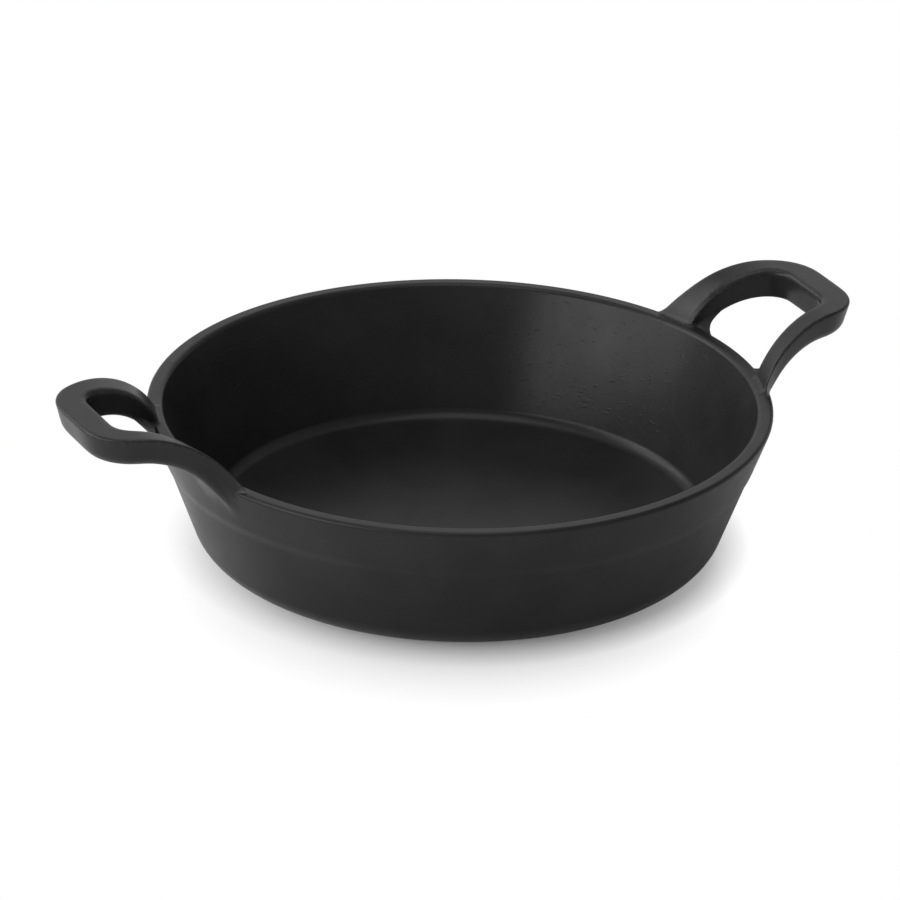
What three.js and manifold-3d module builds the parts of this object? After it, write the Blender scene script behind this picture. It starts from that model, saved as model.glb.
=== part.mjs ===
// Two-handled serving pan in cast iron: a round bowl with a loop handle rising from each side of its rim.
// Millimetres, +Z up. The origin is on the table under the bowl's centre, and +X runs out through a handle.
// The real pan is one casting. Here its regions are separate solids that meet where its form changes.
import * as THREE from 'three';
import { mergeVertices } from 'three/addons/utils/BufferGeometryUtils.js';
import Module from 'manifold-3d';

const wasm = await Module();
wasm.setup();

// Bowl
const rimRadius = 100.4; // widest edge of the rim
const panHeight = 48.5; // table to the top of the rim
const wallLeanDegrees = 20; // outside of the wall, from upright
const rimWidth = 4.8; // top of the rim, from its outer to its inner edge
const rimDepth = 5; // rim band, from its top down
const rimRounding = 1.2; // both edges of the rim
const wallThickening = 0.75; // how much thicker the wall is at the floor than at the rim
const floorThickness = 6.5;
const floorFillet = 4.5; // inside corner, floor to wall
const baseRounding = 12; // outside corner, base to wall
const partingDrop = 10; // rim band's lower edge to the line where the mould halves met
const partingStep = 0.4; // the wall below that line is set in by this much
const partingShoulder = 0.9; // height over which the wall steps in

// Handles: heights are from the top of the rim, and spans run across both arms
const gripReach = 35.4; // rim's widest edge to the grip's outer face
const gripRise = 18.6; // top of the grip
const gripWidth = 10.5; // grip, from its outer face to the finger hole
const gripLength = 43.2; // between the outer corners of the grip
const gripCorner = 16.8; // outer corners of the grip
const holeCorner = 7.2; // corners of the finger hole beside the grip
const strapThickness = 9.9; // grip and arms, top to underside
const sideLeanDegrees = 14; // outer side of grip and arms, inwards from its top to its bottom
const underRounding = 3.2; // outer lower edge of grip and arms
const armWidth = 9.7; // arms, from their outer side to the finger hole
const neckReach = 2.6; // rim's widest edge to the neck, where the arms begin to flare
const neckSpan = 60.4; // outer sides of the arms at the neck
const flareRadius = 32; // hollow curve from the neck to the rim, along the upper edge of each arm
const tipDepth = 9.5; // where the underside meets the wall, below the top of the rim
const tipSink = 4; // how far the arms run on inside the wall before the bowl trims them
const topBend = 28.5; // upper face, turning over from the rim to the grip
const underBend = 25.6; // underside, turning over from the wall to the grip
const underAngleDegrees = 49; // underside where it leaves the wall, from level

const castGap = 0.3; // between neighbouring solids that a cut has parted

// How finely round forms are divided
const turnSteps = 72;
const arcSteps = 6;
const barSteps = 3;
const flankSteps = 8;
const rootSteps = 9;
const widthSteps = 5;
const cornerShare = 0.48; // most of a side that one rounded corner may take
const edgeShare = 0.9; // most of the strap's thickness that its rounded edge may take

const wallLean = THREE.MathUtils.degToRad(wallLeanDegrees);
const sideLean = THREE.MathUtils.degToRad(sideLeanDegrees);
const underAngle = THREE.MathUtils.degToRad(underAngleDegrees);

const point = (x, y) => new THREE.Vector2(x, y);

// Points of a circular arc, from one angle to another.
function arc(centre, radius, from, to, steps) {
  const angles = Array.from({ length: steps + 1 }, (_, i) => from + ((to - from) * i) / steps);
  return angles.map((angle) => point(radius, 0).rotateAround(point(0, 0), angle).add(centre));
}

// The arc that rounds a corner, no larger than the corner's two sides allow.
function roundCorner(before, corner, after, radius) {
  const sideIn = before.clone().sub(corner);
  const sideOut = after.clone().sub(corner);
  const room = cornerShare * Math.min(sideIn.length(), sideOut.length());
  sideIn.normalize();
  sideOut.normalize();
  const half = Math.acos(sideIn.dot(sideOut)) / 2;
  const reach = Math.min(radius / Math.tan(half), room);
  const bend = reach * Math.tan(half);
  const centre = sideIn.clone().add(sideOut).setLength(bend / Math.sin(half)).add(corner);
  const from = sideIn.setLength(reach).add(corner).sub(centre).angle();
  const to = sideOut.setLength(reach).add(corner).sub(centre).angle();
  const turn = THREE.MathUtils.euclideanModulo(to - from + Math.PI, 2 * Math.PI) - Math.PI;
  return arc(centre, bend, from, from + turn, arcSteps);
}

// A section, written as radius and height, turned about the pan's axis.
const revolve = (section) => new THREE.LatheGeometry(section, turnSteps).rotateX(Math.PI / 2);
const revolveRing = (section) => revolve([...section, section[0]]);

// A closed solid for joining and cutting: corners merged, and triangles without area dropped.
function toSolid(geometry) {
  const bare = geometry.clone();
  bare.deleteAttribute('normal');
  bare.deleteAttribute('uv');
  const merged = mergeVertices(bare);
  const index = Array.from(merged.index.array);
  const triangles = Array.from({ length: index.length / 3 }, (_, i) => index.slice(3 * i, 3 * i + 3));
  const triVerts = new Uint32Array(triangles.filter((triangle) => new Set(triangle).size === 3).flat());
  const vertProperties = merged.attributes.position.array;
  return new wasm.Manifold(new wasm.Mesh({ numProp: 3, vertProperties, triVerts }));
}

function toGeometry(solid) {
  const { vertProperties, triVerts } = solid.getMesh();
  const geometry = new THREE.BufferGeometry();
  geometry.setAttribute('position', new THREE.BufferAttribute(vertProperties, 3));
  geometry.setIndex(new THREE.BufferAttribute(triVerts, 1));
  geometry.computeVertexNormals();
  return geometry;
}

const seasonedIron = (color) => new THREE.MeshStandardMaterial({ color, roughness: 0.6, metalness: 0.4 });
const insideColour = 0x262625;
const outsideColour = 0x31302f;

function addPiece(parent, name, geometry, colour) {
  const piece = new THREE.Mesh(geometry, seasonedIron(colour));
  piece.name = name;
  parent.add(piece);
}

const pan = new THREE.Group();

// Bowl: floor, wall and rim follow one section, so that each starts on the points where the last one ends.
const rimCornerHalf = (Math.PI / 2 - wallLean) / 2;
const rimCornerRadius = rimRadius + rimRounding * (1 / Math.tan(rimCornerHalf) - 1); // before rounding
const outerAt = (height) => rimCornerRadius - (panHeight - height) * Math.tan(wallLean);
const rimInner = rimRadius - rimWidth;
const floorCornerRadius = outerAt(floorThickness) - rimWidth - wallThickening;
const innerSlope = (rimInner - floorCornerRadius) / (panHeight - floorThickness);
const innerAt = (height) => rimInner - (panHeight - height) * innerSlope;

const bandHeight = panHeight - rimDepth;
const partingHeight = bandHeight - partingDrop;
const shoulderHeight = partingHeight - partingShoulder;

const baseMiddle = point(0, 0);
const baseCorner = point(outerAt(0) - partingStep, 0);
const stepLower = point(outerAt(shoulderHeight) - partingStep, shoulderHeight);
const stepUpper = point(outerAt(partingHeight), partingHeight);
const bandOuter = point(outerAt(bandHeight), bandHeight);
const rimOuterCorner = point(rimCornerRadius, panHeight);
const rimInnerCorner = point(rimInner, panHeight);
const bandInner = point(innerAt(bandHeight), bandHeight);
const floorCorner = point(floorCornerRadius, floorThickness);
const floorMiddle = point(0, floorThickness);

const baseArc = roundCorner(baseMiddle, baseCorner, stepLower, baseRounding);
const filletArc = roundCorner(bandInner, floorCorner, floorMiddle, floorFillet);
const rimOuterArc = roundCorner(bandOuter, rimOuterCorner, rimInnerCorner, rimRounding);
const rimInnerArc = roundCorner(rimOuterCorner, rimInnerCorner, bandInner, rimRounding);

addPiece(pan, 'pan_floor', revolve([baseMiddle, baseArc[0], filletArc.at(-1), floorMiddle]), insideColour);
const wallSection = [...baseArc, stepLower, stepUpper, bandOuter, bandInner, ...filletArc];
const rimSection = [bandOuter, ...rimOuterArc, ...rimInnerArc, bandInner];
addPiece(pan, 'pan_wall', revolveRing(wallSection), outsideColour);
addPiece(pan, 'pan_rim', revolveRing(rimSection), outsideColour);

// Handle: a straight bar bent to its plan and lifted to its side view, less the space that the bowl fills.
const gripOuter = rimRadius + gripReach;
const gripInner = gripOuter - gripWidth;
const neckHalf = neckSpan / 2;
const tipOut = Math.sqrt(outerAt(panHeight - tipDepth) ** 2 - neckHalf ** 2);
const sinkOut = tipOut - tipSink;
const sideInset = strapThickness * Math.tan(sideLean);

const gripCornerPoint = point(gripOuter, gripLength / 2);
const neck = point(rimRadius + neckReach, neckHalf);

// A straight stretch between two points, and a line through two points at another distance from the axis.
function spread(from, to, steps) {
  return Array.from({ length: steps + 1 }, (_, i) => from.clone().lerp(to, i / steps));
}

const lineAt = (from, to, out) => from.clone().lerp(to, (out - from.x) / (to.x - from.x));

// An edge of half the handle in plan, from the middle of the grip round a corner to the neck of an arm.
function edgeTo(cornerPoint, neckPoint, rounding) {
  const farCorner = point(cornerPoint.x, -cornerPoint.y);
  const corner = roundCorner(farCorner, cornerPoint, neckPoint, rounding);
  const bar = spread(point(cornerPoint.x, 0), corner[0], barSteps).slice(0, -1);
  const flank = spread(corner.at(-1), neckPoint, flankSteps).slice(1);
  return [...bar, ...corner, ...flank];
}

const straightOn = (from, to) => spread(to, lineAt(from, to, sinkOut), rootSteps).slice(1);

// The upper edge of an arm beyond its neck, curving away from the line of its outer side.
function flare() {
  const startAngle = Math.atan2(neck.y - gripCornerPoint.y, gripCornerPoint.x - neck.x);
  const endAngle = Math.asin(Math.min(Math.sin(startAngle) + (neck.x - sinkOut) / flareRadius, 1));
  const centre = point(Math.sin(startAngle), Math.cos(startAngle)).multiplyScalar(flareRadius).add(neck);
  const quarter = Math.PI / 2;
  return arc(centre, flareRadius, -quarter - startAngle, -quarter - endAngle, rootSteps).slice(1);
}

// Half of the handle in plan, to the sunk end of an arm. Its three edges have matching places: the outer
// side at its top, the outer side at its bottom, and the finger hole.
function planEdges() {
  const lowCorner = gripCornerPoint.clone().subScalar(sideInset);
  const lowNeck = neck.clone().sub(point(0, sideInset));
  const holeTip = lineAt(gripCornerPoint, neck, gripInner).sub(point(0, armWidth));
  const holeNeck = neck.clone().sub(point(0, armWidth));
  return {
    top: [...edgeTo(gripCornerPoint, neck, gripCorner), ...flare()],
    bottom: [...edgeTo(lowCorner, lowNeck, gripCorner - sideInset), ...straightOn(lowCorner, lowNeck)],
    hole: [...edgeTo(holeTip, holeNeck, holeCorner), ...straightOn(holeTip, holeNeck)],
  };
}

// Heights of the strap's two faces: both bend over from a steep root to a level grip. The upper face is
// turned about the pan's axis, from the middle of the rim, and the underside is straight across.
const landing = rimRadius - rimWidth / 2;
const topLevel = landing + Math.sqrt(topBend ** 2 - (topBend - gripRise) ** 2); // level from here
function topAt(radius) {
  if (radius < landing) return radius - landing;
  const turn = Math.max(topLevel - radius, 0);
  return gripRise - topBend + Math.sqrt(topBend ** 2 - turn ** 2);
}

const underRise = gripRise - strapThickness;
const bendFoot = underRise - underBend * (1 - Math.cos(underAngle)); // where the underside's bend begins
const bendFootOut = tipOut + (bendFoot + tipDepth) / Math.tan(underAngle);
const underLevel = bendFootOut + underBend * Math.sin(underAngle); // level from here
function underAt(out) {
  if (out < bendFootOut) return bendFoot - (bendFootOut - out) * Math.tan(underAngle);
  const turn = Math.max(underLevel - out, 0);
  return underRise - underBend + Math.sqrt(underBend ** 2 - turn ** 2);
}

// Bends the bar: its length follows the plan, and its width runs from the hole to the outer side.
function bentStrap() {
  const { top, bottom, hole } = planEdges();
  const halfSteps = top.length - 1;
  const bar = new THREE.BoxGeometry(2 * halfSteps, 1, 1, 2 * halfSteps, widthSteps, 1);
  bar.translate(0, 0.5, 0.5);
  const { position } = bar.attributes;
  for (let i = 0; i < position.count; i += 1) {
    const step = Math.round(position.getX(i));
    const place = Math.abs(step);
    const depth = 1 - position.getZ(i);
    const across = Math.sin((position.getY(i) * Math.PI) / 2); // closer together towards the rounded edge
    const outer = top[place].clone().lerp(bottom[place], depth);
    const width = outer.distanceTo(hole[place]);
    const rounding = Math.min(underRounding, width, edgeShare * strapThickness);
    const overEdge = Math.max(across * width - width + rounding, 0);
    const lift = rounding - Math.sqrt(Math.max(rounding ** 2 - overEdge ** 2, 0));
    const plan = hole[place].clone().lerp(outer, across);
    const height = THREE.MathUtils.lerp(topAt(plan.length()), underAt(plan.x) + lift, depth);
    position.setXYZ(i, plan.x, -plan.y * Math.sign(step), panHeight + height);
  }
  return bar;
}

const wallGap = castGap / Math.cos(wallLean);
const bowlSpace = toSolid(revolve([
  point(0, 0),
  point(outerAt(0) + wallGap, 0),
  point(rimCornerRadius + wallGap, panHeight),
  point(rimCornerRadius + wallGap, panHeight + castGap),
  point(0, panHeight + castGap),
]));
const strap = toSolid(bentStrap()).subtract(bowlSpace);

// Grip and arms part where the rounded corners of the finger hole end.
const gripStart = gripInner - holeCorner;
const armEnd = gripStart - castGap;

function block(outFrom, outTo, acrossFrom, acrossTo) {
  const length = outTo - outFrom;
  const width = acrossTo - acrossFrom;
  const height = 4 * panHeight;
  const geometry = new THREE.BoxGeometry(length, width, height);
  return toSolid(geometry.translate(outFrom + length / 2, acrossFrom + width / 2, 0));
}

const grip = strap.intersect(block(gripStart, 2 * gripOuter, -gripOuter, gripOuter));
const armRight = strap.intersect(block(0, armEnd, -gripOuter, 0));
const armLeft = strap.intersect(block(0, armEnd, 0, gripOuter));

// The handle on -X is the one on +X turned half round, which swaps its front and back arms.
const handles = [
  { name: 'right_handle', turn: 0, frontArm: armRight, backArm: armLeft },
  { name: 'left_handle', turn: Math.PI, frontArm: armLeft, backArm: armRight },
];
for (const { name, turn, frontArm, backArm } of handles) {
  const handle = new THREE.Group();
  handle.rotation.z = turn;
  addPiece(handle, `${name}_grip`, toGeometry(grip), outsideColour);
  addPiece(handle, `${name}_front_arm`, toGeometry(frontArm), outsideColour);
  addPiece(handle, `${name}_back_arm`, toGeometry(backArm), outsideColour);
  pan.add(handle);
}

export default pan;
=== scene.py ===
from math import acos, asin, atan2, cos, pi, radians, sin, tan

import bmesh
import bpy
import numpy as np
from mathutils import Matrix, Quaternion, Vector


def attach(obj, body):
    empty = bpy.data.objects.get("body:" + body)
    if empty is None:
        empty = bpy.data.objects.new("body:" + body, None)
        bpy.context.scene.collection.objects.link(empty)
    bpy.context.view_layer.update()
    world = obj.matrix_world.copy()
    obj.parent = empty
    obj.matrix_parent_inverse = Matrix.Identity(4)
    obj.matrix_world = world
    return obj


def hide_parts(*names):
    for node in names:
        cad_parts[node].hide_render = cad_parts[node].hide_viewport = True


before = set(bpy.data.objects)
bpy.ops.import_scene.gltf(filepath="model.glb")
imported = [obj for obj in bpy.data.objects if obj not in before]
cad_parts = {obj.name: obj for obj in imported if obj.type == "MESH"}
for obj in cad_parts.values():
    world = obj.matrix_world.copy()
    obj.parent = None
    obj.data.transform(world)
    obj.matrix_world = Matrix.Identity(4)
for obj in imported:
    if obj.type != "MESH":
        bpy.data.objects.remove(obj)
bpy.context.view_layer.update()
mm = 0.001
print("cad frame loaded:", len(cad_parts), "nodes")


# small tools

def deselectAll():
    if bpy.context.object and bpy.context.object.mode != "OBJECT":
        bpy.ops.object.mode_set(mode="OBJECT")
    bpy.ops.object.select_all(action="DESELECT")


def makeActive(piece):
    deselectAll()
    piece.select_set(True)
    bpy.context.view_layer.objects.active = piece


def nameActive(name):
    piece = bpy.context.object
    piece.name = piece.data.name = name
    return piece


def editAll():
    bpy.ops.object.mode_set(mode="EDIT")
    bpy.ops.mesh.select_all(action="SELECT")


def faceOutwards():
    bpy.ops.mesh.select_all(action="SELECT")
    bpy.ops.mesh.normals_make_consistent(inside=False)


def leaveEdit():
    bpy.ops.object.mode_set(mode="OBJECT")


def pickEdges(piece, wanted):
    bpy.ops.mesh.select_mode(type="EDGE")
    bpy.ops.mesh.select_all(action="DESELECT")
    mesh = bmesh.from_edit_mesh(piece.data)
    for edge in mesh.edges:
        edge.select_set(all(wanted(vert.co) for vert in edge.verts))
    bmesh.update_edit_mesh(piece.data)


def smoothFaces(piece, degrees):
    makeActive(piece)
    bpy.ops.object.shade_smooth_by_angle(angle=radians(degrees))


def evenNormals(piece):
    # big faces keep their own direction, and the small ones beside them bend
    makeActive(piece)
    weighted = piece.modifiers.new("evenNormals", "WEIGHTED_NORMAL")
    weighted.keep_sharp = True
    bpy.ops.object.modifier_apply(modifier=weighted.name)


class NodeBench:
    def __init__(self, material):
        material.use_nodes = True
        self.tree = material.node_tree
        self.shader = self.tree.nodes["Principled BSDF"]
        self.place = self.add("ShaderNodeTexCoord").outputs["Object"]

    def add(self, kind, **inputs):
        node = self.tree.nodes.new(kind)
        for name, value in inputs.items():
            self.feed(node, name, value)
        return node

    def feed(self, node, name, value):
        socket = node.inputs[name]
        if isinstance(value, bpy.types.NodeSocket):
            self.tree.links.new(value, socket)
        else:
            socket.default_value = value

    def math(self, operation, first, second=0.0):
        node = self.tree.nodes.new("ShaderNodeMath")
        node.operation = operation
        self.feed(node, 0, first)
        self.feed(node, 1, second)
        return node.outputs[0]

    def length(self, operation, first, second=(0, 0, 0)):
        node = self.tree.nodes.new("ShaderNodeVectorMath")
        node.operation = operation
        self.feed(node, 0, first)
        self.feed(node, 1, second)
        return node.outputs["Value"]

    def ramp(self, value, low, high, start=0.0, end=1.0, kind="SMOOTHSTEP"):
        node = self.add("ShaderNodeMapRange")
        node.interpolation_type = kind
        for index, entry in enumerate((value, low, high, start, end)):
            self.feed(node, index, entry)
        return node.outputs[0]

    def noise(self, place, scale, detail, roughness):
        node = self.add("ShaderNodeTexNoise", Vector=place, Scale=scale, Detail=detail, Roughness=roughness)
        return node.outputs["Fac"]

    def mix(self, share, first, second):
        node = self.tree.nodes.new("ShaderNodeMix")
        node.data_type = "RGBA"
        self.feed(node, 0, share)
        for index, entry in ((6, first), (7, second)):
            self.feed(node, index, entry if isinstance(entry, bpy.types.NodeSocket) else (*entry, 1.0))
        return node.outputs[2]

    def bump(self, height, strength, distance, under=None):
        node = self.add("ShaderNodeBump", Height=height, Strength=strength, Distance=distance)
        if under is not None:
            self.feed(node, "Normal", under)
        return node.outputs["Normal"]


# iron

iron = dict(
    dark=(0.0120, 0.0120, 0.0120),      # between the grains
    pale=(0.0182, 0.0182, 0.0181),      # dry seasoning
    wornGlint=(0.036, 0.0358, 0.0354),       # rubbed edges, and a painted highlight on the handles' upper edges
    grainScale=820.0,
    cloudScale=38.0,
    pitScale=360.0,
    pitRange=(0.05, 0.28),
    wrinkleScale=360.0,
    wrinkleFlatten=2.2,                 # wrinkles lie along the wall
    wrinkleRange=(0.59, 0.76),
    wallSlope=0.367,                    # inner wall: its lean,
    wallRadius=(0.0812, 0.0792),        # its radius carried down to the table,
    wallFoot=(0.009, 0.016),            # and the height where it begins
    cloudRange=(0.32, 0.68),
    grainRange=(0.45, 0.75),
    grainShare=0.35,                    # how much the grain lightens
    wornGlintRange=(0.42, 0.66),
    wornGlintShare=0.55,
    sheenScale=95.0,                    # duller and shinier patches
    sheenRange=(0.3, 0.7),
    roughLow=0.29,
    roughHigh=0.335,
    wornShine=0.01,
    specular=0.21,
    cloudBump=(0.10, 0.0005),           # strength, depth
    wrinkleBump=(0.36, 0.00010),
    pitBump=(0.03, 0.00010),
    grainBump=(0.16, 0.00012),
)


def makeIron(spec):
    material = bpy.data.materials.new("seasonedIron")
    bench = NodeBench(material)
    place = bench.place

    # sand grain, soft clouds in the seasoning, a few pits
    grain = bench.noise(place, spec["grainScale"], 3.0, 0.6)
    clouds = bench.noise(place, spec["cloudScale"], 4.0, 0.55)
    pits = bench.add("ShaderNodeTexVoronoi", Vector=place, Scale=spec["pitScale"], Randomness=1.0)
    pitDepth = bench.ramp(pits.outputs["Distance"], *spec["pitRange"])

    # fine wrinkles left by the mould on the inner wall
    flat = bench.add("ShaderNodeMapping", Vector=place, Scale=(1.0, 1.0, spec["wrinkleFlatten"]))
    wrinkles = bench.noise(flat.outputs[0], spec["wrinkleScale"], 2.0, 0.5)
    wrinkleHeight = bench.ramp(wrinkles, *spec["wrinkleRange"])

    split = bench.add("ShaderNodeSeparateXYZ", Vector=place)
    across = bench.math("POWER", split.outputs["X"], 2.0)
    along = bench.math("POWER", split.outputs["Y"], 2.0)
    fromAxis = bench.math("SQRT", bench.math("ADD", across, along))
    lean = bench.math("MULTIPLY", split.outputs["Z"], spec["wallSlope"])
    inside = bench.ramp(bench.math("SUBTRACT", fromAxis, lean), *spec["wallRadius"])
    onWall = bench.math("MULTIPLY", inside, bench.ramp(split.outputs["Z"], *spec["wallFoot"]))

    # marked edges go paler: partly rubbed seasoning, partly a painted highlight along the upper edges
    wearGlint = bench.add("ShaderNodeAttribute")
    wearGlint.attribute_name = "edgeWearGlint"
    wornGlintMask = bench.math("MULTIPLY", wearGlint.outputs["Fac"], bench.ramp(grain, *spec["wornGlintRange"]))

    grainy = bench.math("MULTIPLY", bench.ramp(grain, *spec["grainRange"]), spec["grainShare"])
    tone = bench.mix(bench.ramp(clouds, *spec["cloudRange"]), spec["dark"], spec["pale"])
    tone = bench.mix(grainy, tone, spec["pale"])
    # painted highlight and wear: the marked edges take the paler edge tone
    tone = bench.mix(bench.math("MULTIPLY", wornGlintMask, spec["wornGlintShare"]), tone, spec["wornGlint"])
    bench.feed(bench.shader, "Base Color", tone)

    sheen = bench.noise(place, spec["sheenScale"], 3.0, 0.6)
    rough = bench.ramp(sheen, *spec["sheenRange"], spec["roughLow"], spec["roughHigh"])
    rough = bench.math("SUBTRACT", rough, bench.math("MULTIPLY", wornGlintMask, spec["wornShine"]))
    bench.feed(bench.shader, "Roughness", rough)
    bench.shader.inputs["Specular IOR Level"].default_value = spec["specular"]

    normal = bench.bump(clouds, *spec["cloudBump"])
    normal = bench.bump(bench.math("MULTIPLY", wrinkleHeight, onWall), *spec["wrinkleBump"], normal)
    normal = bench.bump(pitDepth, *spec["pitBump"], normal)
    normal = bench.bump(grain, *spec["grainBump"], normal)
    bench.feed(bench.shader, "Normal", normal)
    return material


seasonedIron = makeIron(iron)
print("iron ready")


def finishPiece(piece, node):
    piece.data.materials.clear()
    piece.data.materials.append(seasonedIron)
    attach(piece, "root")
    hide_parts(node)


# bowl: rings extruded from a circle, then corners bevelled; millimetres

bowl = dict(
    rimRadius=100.37,
    height=48.5,
    lean=radians(20),
    rimWidth=4.8,
    rimDepth=5.0,
    rimRounding=1.2,
    innerRounding=1.8,
    wallThickening=0.75,                # wall at the floor, over the rim's width
    floorThickness=6.5,
    floorFillet=4.5,
    baseRounding=12.0,
    partingDrop=10.0,                   # rim band down to the mould's soft ledge
    partingStep=0.45,
    partingShoulder=3.0,
    ledgeRounding=14.0,
    seamRadius=70.0,                    # floor and wall part here, on the flat
    segments=256,
    bevelSteps=10,
    smoothDegrees=15,
)

rimCornerHalf = (pi / 2 - bowl["lean"]) / 2
rimCorner = bowl["rimRadius"] + bowl["rimRounding"] * (1 / tan(rimCornerHalf) - 1)
rimInner = bowl["rimRadius"] - bowl["rimWidth"]


def outerAt(height):
    return rimCorner - (bowl["height"] - height) * tan(bowl["lean"])


floorCorner = outerAt(bowl["floorThickness"]) - bowl["rimWidth"] - bowl["wallThickening"]
innerSlope = (rimInner - floorCorner) / (bowl["height"] - bowl["floorThickness"])


def innerAt(height):
    return rimInner - (bowl["height"] - height) * innerSlope


def turnRing(name, corners):
    # corners: radius, height, rounding
    deselectAll()
    radius, height, _ = corners[0]
    bpy.ops.mesh.primitive_circle_add(
        vertices=bowl["segments"], radius=radius * mm, location=(0, 0, height * mm))
    piece = nameActive(name)
    bpy.ops.object.transform_apply(location=True, rotation=True, scale=True)
    editAll()
    for nextRadius, nextHeight, _ in corners[1:] + corners[:1]:
        lift = (0, 0, (nextHeight - height) * mm)
        bpy.ops.mesh.extrude_region_move(TRANSFORM_OT_translate={"value": lift})
        grow = nextRadius / radius
        bpy.ops.transform.resize(value=(grow, grow, 1), center_override=(0, 0, 0))
        radius, height = nextRadius, nextHeight
    bpy.ops.mesh.select_all(action="SELECT")
    bpy.ops.mesh.remove_doubles(threshold=0.002 * mm)
    bpy.ops.mesh.normals_make_consistent(inside=False)
    for index, (radius, height, rounding) in enumerate(corners):
        if not rounding:
            continue
        corner = Vector((radius, height))
        before = Vector(corners[index - 1][:2]) - corner
        after = Vector(corners[(index + 1) % len(corners)][:2]) - corner
        reach = rounding / tan(before.angle(after) / 2)
        pickEdges(piece, lambda co: abs(co.z - height * mm) < 1e-5
                  and abs(co.xy.length - radius * mm) < 2e-5)
        bpy.ops.mesh.bevel(offset=reach * mm, segments=bowl["bevelSteps"], affect="EDGES")
    leaveEdit()
    smoothFaces(piece, bowl["smoothDegrees"])
    evenNormals(piece)
    return piece


bandHeight = bowl["height"] - bowl["rimDepth"]
partingHeight = bandHeight - bowl["partingDrop"]
shoulderHeight = partingHeight - bowl["partingShoulder"]
shoulderRadius = outerAt(shoulderHeight) - bowl["partingStep"]
baseCorner = outerAt(0) - bowl["partingStep"]

panWall = turnRing("panWall", [
    (bowl["seamRadius"], 0, 0),
    (baseCorner, 0, bowl["baseRounding"]),
    (shoulderRadius, shoulderHeight, bowl["ledgeRounding"]),
    (outerAt(partingHeight), partingHeight, bowl["ledgeRounding"]),
    (outerAt(bandHeight), bandHeight, 0),
    (innerAt(bandHeight), bandHeight, 0),
    (floorCorner, bowl["floorThickness"], bowl["floorFillet"]),
    (bowl["seamRadius"], bowl["floorThickness"], 0),
])
finishPiece(panWall, "pan_wall")

panRim = turnRing("panRim", [
    (outerAt(bandHeight), bandHeight, 0),
    (rimCorner, bowl["height"], bowl["rimRounding"]),
    (rimInner, bowl["height"], bowl["innerRounding"]),
    (innerAt(bandHeight), bandHeight, 0),
])
finishPiece(panRim, "pan_rim")

# floor: a disc, then its thickness
deselectAll()
bpy.ops.mesh.primitive_circle_add(
    vertices=bowl["segments"], radius=bowl["seamRadius"] * mm, fill_type="NGON")
panFloor = nameActive("panFloor")
editAll()
bpy.ops.mesh.extrude_region_move(
    TRANSFORM_OT_translate={"value": (0, 0, bowl["floorThickness"] * mm)})
faceOutwards()
leaveEdit()
smoothFaces(panFloor, 40)
finishPiece(panFloor, "pan_floor")
print("bowl turned")


# handles: a strap swept along its plan, its feet blended into the bowl; millimetres

handle = dict(
    reach=35.4,                         # rim's widest edge to the grip's outer face
    rise=18.6,                          # top of the grip above the rim
    gripWidth=10.5,
    gripLength=43.2,
    corner=16.8,
    holeCorner=7.2,
    thickness=9.9,
    sideLean=radians(14),               # outer side, inwards to its bottom
    armWidth=9.7,
    neckReach=2.6,                      # narrowest place outside the rim, and its span
    neckSpan=60.4,
    flareRadius=32.0,
    tipDepth=9.5,                       # underside meets the wall this far below the rim
    tipSink=6.0,
    topBend=28.5,
    topDive=2.8,                        # slope of the top inside the rim
    underBend=25.6,
    underAngle=radians(49),
    topEdge=1.1,                        # rounding of the outer upper edge
    holeTop=1.8,                        # upper edge beside the finger hole
    underEdge=3.2,                      # outer lower edge
    underShare=0.92,                    # and at most this share of the width
    holeEdge=1.4,                       # lower edge beside the finger hole
    blend=4.2,                          # how far the feet run out on the bowl
    topBlend=1.9,                       # the same on the rim's top
    flankBlend=6.0,                     # and from the outer side over the rim's edge
    holeBlend=13.5,                     # in the ends of the finger hole, under the rim's edge
    underHole=8.0,                      # below those ends
    sideTurn=0.6,                       # a face turned this much counts as a side
    deepStart=(0.5, 0.1),               # below the rim, where the longer run begins, and in the hole
    deepSpan=(4.5, 1.4),                # over this height
    holeSide=(2.5, 6.5),                # under the arm: start and width of the part by the hole
    rimMargin=0.6,                      # kept clear at the rim's inner edge
    leastRun=(0.35, 0.8),               # on the rim's top, on the wall
    lowest=12.5,                        # how far below the rim they may run out
    skin=0.004,                         # blends stay this far outside the bowl
    rootSink=1.2,                       # and end this deep in it
    split=117.95,                       # grip and arms part here
    barSteps=6,
    turnSteps=14,
    flankSteps=18,
    footSteps=18,
    softRounds=6,
    strapSteps=56,
    bendSteps=9,
)


def roundCorner(before, corner, after, radius, steps):
    sideIn = (before - corner) / np.linalg.norm(before - corner)
    sideOut = (after - corner) / np.linalg.norm(after - corner)
    half = acos(sideIn @ sideOut) / 2
    middle = (sideIn + sideOut) / np.linalg.norm(sideIn + sideOut)
    centre = corner + middle * radius / sin(half)
    start = corner + sideIn * radius / tan(half) - centre
    end = corner + sideOut * radius / tan(half) - centre
    first = atan2(start[1], start[0])
    turn = (atan2(end[1], end[0]) - first + pi) % (2 * pi) - pi
    angles = first + turn * np.linspace(0, 1, steps + 1)
    return centre + radius * np.column_stack((np.cos(angles), np.sin(angles)))


def straight(start, end, steps):
    return start + np.linspace(0, 1, steps + 1)[:, None] * (end - start)


def lineAt(start, end, out):
    return start + (out - start[0]) / (end[0] - start[0]) * (end - start)


def soften(places, rounds):
    for _ in range(rounds):
        places[1:-1] = (places[:-2] + 2 * places[1:-1] + places[2:]) / 4
    return places


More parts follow.
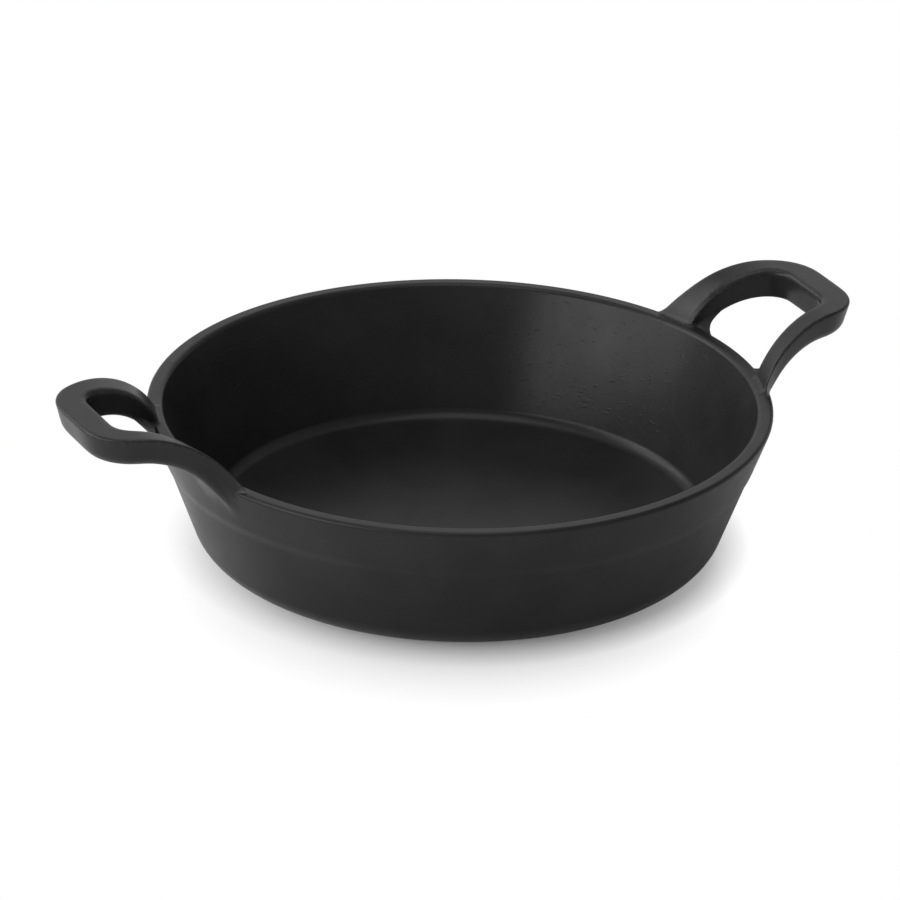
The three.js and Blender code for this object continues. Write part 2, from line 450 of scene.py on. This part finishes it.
def planEdges(spec):
    # half a handle from above: outer side at its top and bottom, and the finger hole, place by place
    outer = bowl["rimRadius"] + spec["reach"]
    corner = np.array((outer, spec["gripLength"] / 2))
    neck = np.array((bowl["rimRadius"] + spec["neckReach"], spec["neckSpan"] / 2))
    tipOut = (outerAt(bowl["height"] - spec["tipDepth"]) ** 2 - neck[1] ** 2) ** 0.5
    sunkOut = tipOut - spec["tipSink"]

    def edgeTo(cornerPlace, neckPlace, radius):
        turn = roundCorner(cornerPlace * (1, -1), cornerPlace, neckPlace, radius, spec["turnSteps"])
        bar = straight(cornerPlace * (1, 0), turn[0], spec["barSteps"])[:-1]
        flank = straight(turn[-1], neckPlace, spec["flankSteps"])[1:]
        return np.vstack((bar, turn, flank))

    def straightOn(cornerPlace, neckPlace):
        return straight(neckPlace, lineAt(cornerPlace, neckPlace, sunkOut), spec["footSteps"])[1:]

    lean = atan2(neck[1] - corner[1], corner[0] - neck[0])
    ending = asin(sin(lean) + (neck[0] - sunkOut) / spec["flareRadius"])
    angles = np.linspace(lean, ending, spec["footSteps"] + 1)[1:]
    flareCentre = neck + spec["flareRadius"] * np.array((sin(lean), cos(lean)))
    flare = flareCentre - spec["flareRadius"] * np.column_stack((np.sin(angles), np.cos(angles)))

    inset = spec["thickness"] * tan(spec["sideLean"])
    lowCorner, lowNeck = corner - inset, neck - (0, inset)
    lowRadius = spec["corner"] - inset
    holeTip = lineAt(corner, neck, outer - spec["gripWidth"]) - (0, spec["armWidth"])
    holeNeck = neck - (0, spec["armWidth"])
    top = np.vstack((edgeTo(corner, neck, spec["corner"]), flare))
    bottom = np.vstack((edgeTo(lowCorner, lowNeck, lowRadius), straightOn(lowCorner, lowNeck)))
    hole = np.vstack((edgeTo(holeTip, holeNeck, spec["holeCorner"]), straightOn(holeTip, holeNeck)))
    edges = [soften(edge, spec["softRounds"]) for edge in (top, bottom, hole)]
    return edges, tipOut


def strapHeights(spec, tipOut):
    landing = bowl["rimRadius"] - bowl["rimWidth"] / 2
    topLevel = landing + (spec["topBend"] ** 2 - (spec["topBend"] - spec["rise"]) ** 2) ** 0.5
    underRise = spec["rise"] - spec["thickness"]
    bendFoot = underRise - spec["underBend"] * (1 - cos(spec["underAngle"]))
    bendFootOut = tipOut + (bendFoot + spec["tipDepth"]) / tan(spec["underAngle"])
    underLevel = bendFootOut + spec["underBend"] * sin(spec["underAngle"])

    def topAt(plan):
        # turned about the pan's axis
        radius = np.hypot(plan[..., 0], plan[..., 1])
        turn = np.clip(topLevel - radius, 0, topLevel - landing)
        height = spec["rise"] - spec["topBend"] + np.sqrt(spec["topBend"] ** 2 - turn ** 2)
        return height - spec["topDive"] * np.clip(landing - radius, 0, None)

    def underAt(plan):
        # straight across
        out = plan[..., 0]
        turn = np.clip(underLevel - out, 0, underLevel - bendFootOut)
        height = underRise - spec["underBend"] + np.sqrt(spec["underBend"] ** 2 - turn ** 2)
        return height - tan(spec["underAngle"]) * np.clip(bendFootOut - out, 0, None)

    return topAt, underAt


def sectionRing(spec, width):
    # across from the hole and down from the top, once round; the third value marks the edges that go paler,
    # partly as wear and partly as painted highlight
    depth = spec["thickness"]
    edge, under = spec["topEdge"], min(spec["underEdge"], spec["underShare"] * width)
    inner, crown = spec["holeEdge"], spec["holeTop"]
    turn = np.linspace(0, pi / 2, 6)
    fineTurn = np.linspace(0, pi / 2, 11)
    # upper edges fully marked, lower hole edge half, outer lower edge not: wear and painted highlight
    arcs = [
        (width - edge + edge * np.sin(turn), edge - edge * np.cos(turn), 1.0),
        (width - under + under * np.cos(fineTurn), depth - under + under * np.sin(fineTurn), 0.0),
        (inner - inner * np.sin(turn), depth - inner + inner * np.cos(turn), 0.5),
        (crown - crown * np.cos(turn), crown - crown * np.sin(turn), 1.0),
    ]
    fills = (3, 3, 6, 6)                # points on the flats after each arc
    ring = []
    for index, (across, down, wornGlint) in enumerate(arcs):
        ring += [(a, d, wornGlint) for a, d in zip(across, down)]
        nextAcross, nextDown, _ = arcs[(index + 1) % len(arcs)]
        start = np.array((across[-1], down[-1]))
        end = np.array((nextAcross[0], nextDown[0]))
        ring += [(a, d, 0.0) for a, d in straight(start, end, fills[index] + 1)[1:-1]]
    return np.array(ring)


def strapGrid(spec):
    edges, tipOut = planEdges(spec)
    topAt, underAt = strapHeights(spec, tipOut)
    rows = []
    for topPlace, bottomPlace, holePlace in zip(*edges):
        width = np.linalg.norm(topPlace - holePlace)
        ring = sectionRing(spec, width)
        share = ring[:, 1:2] / spec["thickness"]
        outer = topPlace + share * (bottomPlace - topPlace)
        plan = holePlace + ring[:, 0:1] / width * (outer - holePlace)
        height = topAt(plan) + share[:, 0] * (underAt(plan) - topAt(plan))
        rows.append(np.column_stack((plan, height + bowl["height"])))
    return np.array(rows), ring[:, 2]


aboveAll = bowl["height"] + 60.0        # well over the handles
bowlOutside = np.array([
    (0.0, baseCorner),
    (shoulderHeight, shoulderRadius),
    (partingHeight, outerAt(partingHeight)),
    (aboveAll, outerAt(aboveAll)),
])


def fromBowl(points):
    # distance outside the filled bowl
    radius = np.hypot(points[..., 0], points[..., 1])
    height = points[..., 2]
    side = (radius - np.interp(height, bowlOutside[:, 0], bowlOutside[:, 1])) * cos(bowl["lean"])
    over = height - bowl["height"]
    rounding = bowl["rimRounding"]
    toCentre = np.stack((radius - bowl["rimRadius"] + rounding, over + rounding), axis=-1)
    edge = np.hypot(toCentre[..., 0], toCentre[..., 1]) - rounding
    facing = np.arctan2(toCentre[..., 1], toCentre[..., 0])
    onEdge = (facing > -bowl["lean"]) & (facing < pi / 2)
    return np.where(onEdge, edge, np.maximum(side, over))


def bowlNormal(point):
    step = 0.02
    shifts = np.eye(3) * step
    slope = np.array([fromBowl(point + shift) - fromBowl(point - shift) for shift in shifts])
    return slope / np.linalg.norm(slope)


def settle(point, lift=0.0, rounds=4):
    # onto the bowl's surface
    for _ in range(rounds):
        point = point - bowlNormal(point) * (fromBowl(point) - lift)
    return point


def sampleChain(chain, place):
    index = min(int(place), len(chain) - 2)
    return chain[index] + (place - index) * (chain[index + 1] - chain[index])


def stepBack(chain, place, length):
    step = 0.05
    lengths = np.linalg.norm(np.diff(chain, axis=0), axis=1)
    while length > 0 and place > 0:
        place -= step
        length -= step * lengths[int(place)]
    return place


def clampShare(value):
    return min(max(value, 0.0), 1.0)


def between(first, second, share):
    return first + (second - first) * share


def runOut(spec, hit, facing):
    # which way a line runs out on the bowl from where it meets it, and how far
    up = bowlNormal(hit)
    fromAxis = np.hypot(hit[0], hit[1])
    radial = np.array((hit[0], hit[1], 0.0)) / fromAxis
    roundRim = np.array((radial[1], -radial[0], 0.0))
    toHole = clampShare(-facing[1] / spec["sideTurn"])
    toOuter = clampShare(facing @ radial / spec["sideTurn"])
    outward = facing - (facing @ up) * up
    outward = outward / np.linalg.norm(outward) * (1 - toHole) + roundRim * toHole
    outward /= np.linalg.norm(outward)

    # short on the rim's top, longer on the wall, longest in the ends of the finger hole
    below = bowl["height"] - hit[2]
    deep = clampShare((below - between(*spec["deepStart"], toHole)) / between(*spec["deepSpan"], toHole))
    deep = deep * deep * (3 - 2 * deep)
    holeStart, holeWidth = spec["holeSide"]
    nearHole = clampShare((spec["neckSpan"] / 2 - holeStart - hit[1]) / holeWidth)
    onTop = between(spec["topBlend"], spec["flankBlend"], toOuter)
    onWall = between(spec["blend"], spec["underHole"], nearHole)
    reach = between(onTop, between(onWall, spec["holeBlend"], toHole), deep)

    # no further than the rim's inner edge, and not too low
    inward = -outward @ radial
    leastOnTop, leastOnWall = spec["leastRun"]
    if up[2] > 0.5 and inward > 0:
        room = fromAxis - rimInner - spec["rimMargin"]
        reach = min(reach, max(room / max(inward, 0.05), leastOnTop))
    if outward[2] < 0:
        room = spec["lowest"] - below
        reach = min(reach, max(room / -outward[2], leastOnWall))
    return outward, reach


def blendFeet(spec, grid):
    # each line along the strap bends over onto the bowl where it meets it
    across = np.roll(grid, -1, axis=1) - np.roll(grid, 1, axis=1)
    along = np.gradient(grid, axis=0)
    normals = np.cross(along, across)
    normals /= np.linalg.norm(normals, axis=2)[..., None] + 1e-12
    flatSpot = np.argmax(grid[0, :, 2])
    normals *= np.sign(normals[0, flatSpot, 2])
    distances = fromBowl(grid)
    steps, bends = spec["strapSteps"], spec["bendSteps"]
    columns = []
    for k in range(grid.shape[1]):
        chain, away = grid[:, k], distances[:, k]
        crossing = int(np.argmax(away < 0))
        hitPlace = crossing - 1 + away[crossing - 1] / (away[crossing - 1] - away[crossing])
        hit = settle(sampleChain(chain, hitPlace))
        outward, reach = runOut(spec, hit, sampleChain(normals[:, k], hitPlace))
        end = settle(hit + outward * reach)
        startPlace = stepBack(chain, hitPlace, reach)
        begin = sampleChain(chain, startPlace)
        column = [sampleChain(chain, startPlace * step / steps) for step in range(steps)]
        for bend in range(bends + 1):
            t = bend / bends
            point = (1 - t) ** 2 * begin + 2 * t * (1 - t) * hit + t * t * end
            if fromBowl(point) < spec["skin"]:
                point = settle(point, spec["skin"])
            column.append(point)
        column.append(end - bowlNormal(end) * spec["rootSink"])
        columns.append(column)
    return np.array(columns).transpose(1, 0, 2)


def makeHandle(name, spec):
    grid, wornGlint = strapGrid(spec)
    half = blendFeet(spec, grid)
    strap = np.concatenate((half[:0:-1] * (1, -1, 1), half))
    rows, ring = strap.shape[:2]
    deselectAll()
    bpy.ops.mesh.primitive_grid_add(x_subdivisions=rows - 1, y_subdivisions=ring, size=1)
    piece = nameActive(name)
    # edge marks for the paler edge tone, partly wear and partly painted highlight
    wearGlint = piece.data.attributes.new("edgeWearGlint", "FLOAT", "POINT")
    for vert in piece.data.vertices:
        row = round((vert.co.x + 0.5) * (rows - 1))
        column = round((vert.co.y + 0.5) * ring) % ring
        vert.co = strap[row, column] * mm
        wearGlint.data[vert.index].value = wornGlint[column]
    editAll()
    bpy.ops.mesh.remove_doubles(threshold=0.001 * mm)
    bpy.ops.mesh.fill_holes(sides=0)
    faceOutwards()
    leaveEdit()
    return piece


def copyPiece(piece, name):
    makeActive(piece)
    bpy.ops.object.duplicate()
    return nameActive(name)


def cutAway(piece, place, normal):
    # keeps the side that the normal points away from
    makeActive(piece)
    editAll()
    bpy.ops.mesh.bisect(plane_co=place, plane_no=normal, use_fill=True, clear_outer=True)
    leaveEdit()


def splitHandle(strap, name, turned):
    if turned:
        makeActive(strap)
        editAll()
        bpy.ops.transform.rotate(value=pi, orient_axis="Z", center_override=(0, 0, 0))
        leaveEdit()
    out = -1 if turned else 1
    cut = (out * handle["split"] * mm, 0, 0)
    grip = copyPiece(strap, name + "Grip")
    cutAway(grip, cut, (-out, 0, 0))
    pieces = [grip]
    for side, sign in (("Front", -1), ("Back", 1)):
        arm = copyPiece(strap, name + side + "Arm")
        cutAway(arm, cut, (out, 0, 0))
        cutAway(arm, (0, 0, 0), (0, -sign, 0))
        pieces.append(arm)
    bpy.data.objects.remove(strap)
    return pieces


for side, turned in (("right", False), ("left", True)):
    strap = makeHandle(side + "Strap", handle)
    pieces = splitHandle(strap, side, turned)
    for piece, part in zip(pieces, ("grip", "front_arm", "back_arm")):
        smoothFaces(piece, 40)
        finishPiece(piece, side + "_handle_" + part)
print("handles made")


# stage: camera, soft light, white floor; metres

shot = dict(
    lens=240.0,
    sensor=36.0,
    distance=1.92349,
    turn=radians(26.824),               # handles, away from the picture plane
    rise=0.4198,
    roll=0.0196,
    aimRight=-0.003257,
    aimUp=-0.015594,
    pivot=0.048,                        # height that the camera turns about
)
rightWay = Vector((cos(shot["turn"]), -sin(shot["turn"]), 0))
awayWay = Vector((sin(shot["turn"]), cos(shot["turn"]), 0))


def spot(right, away, up):
    return rightWay * right + awayWay * away + Vector((0, 0, up))


pivot = Vector((0, 0, shot["pivot"]))
lookWay = awayWay * cos(shot["rise"]) - Vector((0, 0, sin(shot["rise"])))
bpy.ops.object.camera_add(location=pivot - lookWay * shot["distance"])
camera = bpy.context.object
camera.data.lens = shot["lens"]
camera.data.sensor_width = shot["sensor"]
camera.data.clip_end = 50
rollTurn = Quaternion((0, 0, 1), shot["roll"])
lookTurn = lookWay.to_track_quat("-Z", "Y") @ rollTurn
aim = pivot + lookTurn @ Vector((shot["aimRight"], shot["aimUp"], 0))
aimWay = aim - camera.location
camera.rotation_mode = "QUATERNION"
camera.rotation_quaternion = aimWay.to_track_quat("-Z", "Y") @ rollTurn
bpy.context.scene.camera = camera

lamps = [
    # place: right, away, up
    dict(name="leftSoftbox", place=(-1.3, 0.5, 0.9), size=(1.2, 0.9), power=9.0),
    dict(name="frontSoftbox", place=(-1.3, -0.6, 0.52), size=(2.0, 0.9), power=14.8),
    dict(name="lowSoftbox", place=(-1.0, -0.8, 0.3), size=(0.9, 0.5), power=1.7),
    dict(name="backLight", place=(-0.3, 1.5, 0.85), size=(2.4, 1.5), power=4.3),
    dict(name="topSoftbox", place=(-0.1, 0.0, 1.3), size=(1.0, 0.8), power=3.3),
]
for lamp in lamps:
    bpy.ops.object.light_add(type="AREA", location=spot(*lamp["place"]))
    light = bpy.context.object
    light.name = lamp["name"]
    light.data.shape = "RECTANGLE"
    light.data.size, light.data.size_y = lamp["size"]
    light.data.energy = lamp["power"]
    light.rotation_euler = (-light.location).to_track_quat("-Z", "Y").to_euler()

studio = dict(ambient=0.38, seen=1.0)   # white to the camera, dimmer as light
world = bpy.data.worlds.new("studio")
bpy.context.scene.world = world
world.use_nodes = True
air = world.node_tree
air.nodes["Background"].inputs["Color"].default_value = (1, 1, 1, 1)
rays = air.nodes.new("ShaderNodeLightPath")
level = air.nodes.new("ShaderNodeMapRange")
level.inputs["To Min"].default_value = studio["ambient"]
level.inputs["To Max"].default_value = studio["seen"]
air.links.new(rays.outputs["Is Camera Ray"], level.inputs["Value"])
air.links.new(level.outputs["Result"], air.nodes["Background"].inputs["Strength"])

paper = dict(
    tone=(0.9, 0.9, 0.9, 1.0),
    roughness=0.9,
    glow=1.0,
    radius=3.0,
    level=-0.0002,
    shadeMiddle=(-0.001, -0.033, 0.0),  # the soft shadow falls towards the camera
    softShade=(0.028, 0.088),           # from there, paper to white
    contactShade=(0.0825, 0.0945, 0.40),    # from the axis: the dark line close to the base
)


def makePaper(spec):
    material = bpy.data.materials.new("paper")
    bench = NodeBench(material)
    bench.feed(bench.shader, "Base Color", spec["tone"])
    bench.feed(bench.shader, "Roughness", spec["roughness"])
    bench.feed(bench.shader, "Specular IOR Level", 0.0)

    # plain lit paper in the shadow, white to the camera beyond it
    fromShade = bench.length("DISTANCE", bench.place, spot(*spec["shadeMiddle"]))
    fromAxis = bench.length("LENGTH", bench.place)
    soft = bench.ramp(fromShade, *spec["softShade"], kind="LINEAR")
    contact = bench.ramp(fromAxis, *spec["contactShade"], kind="LINEAR")
    seen = bench.add("ShaderNodeLightPath").outputs["Is Camera Ray"]
    share = bench.math("MULTIPLY", bench.math("MULTIPLY", soft, contact), seen)
    glow = bench.add("ShaderNodeEmission", Strength=spec["glow"])
    blend = bench.tree.nodes.new("ShaderNodeMixShader")
    for index, entry in enumerate((share, bench.shader.outputs[0], glow.outputs[0])):
        bench.feed(blend, index, entry)
    bench.feed(bench.tree.nodes["Material Output"], "Surface", blend.outputs[0])
    return material


deselectAll()
bpy.ops.mesh.primitive_circle_add(
    vertices=96, radius=paper["radius"], fill_type="NGON", location=(0, 0, paper["level"]))
floor = bpy.context.object
floor.name = "floor"
floor.data.materials.append(makePaper(paper))

bpy.context.scene.view_settings.view_transform = "Standard"
print("stage set")
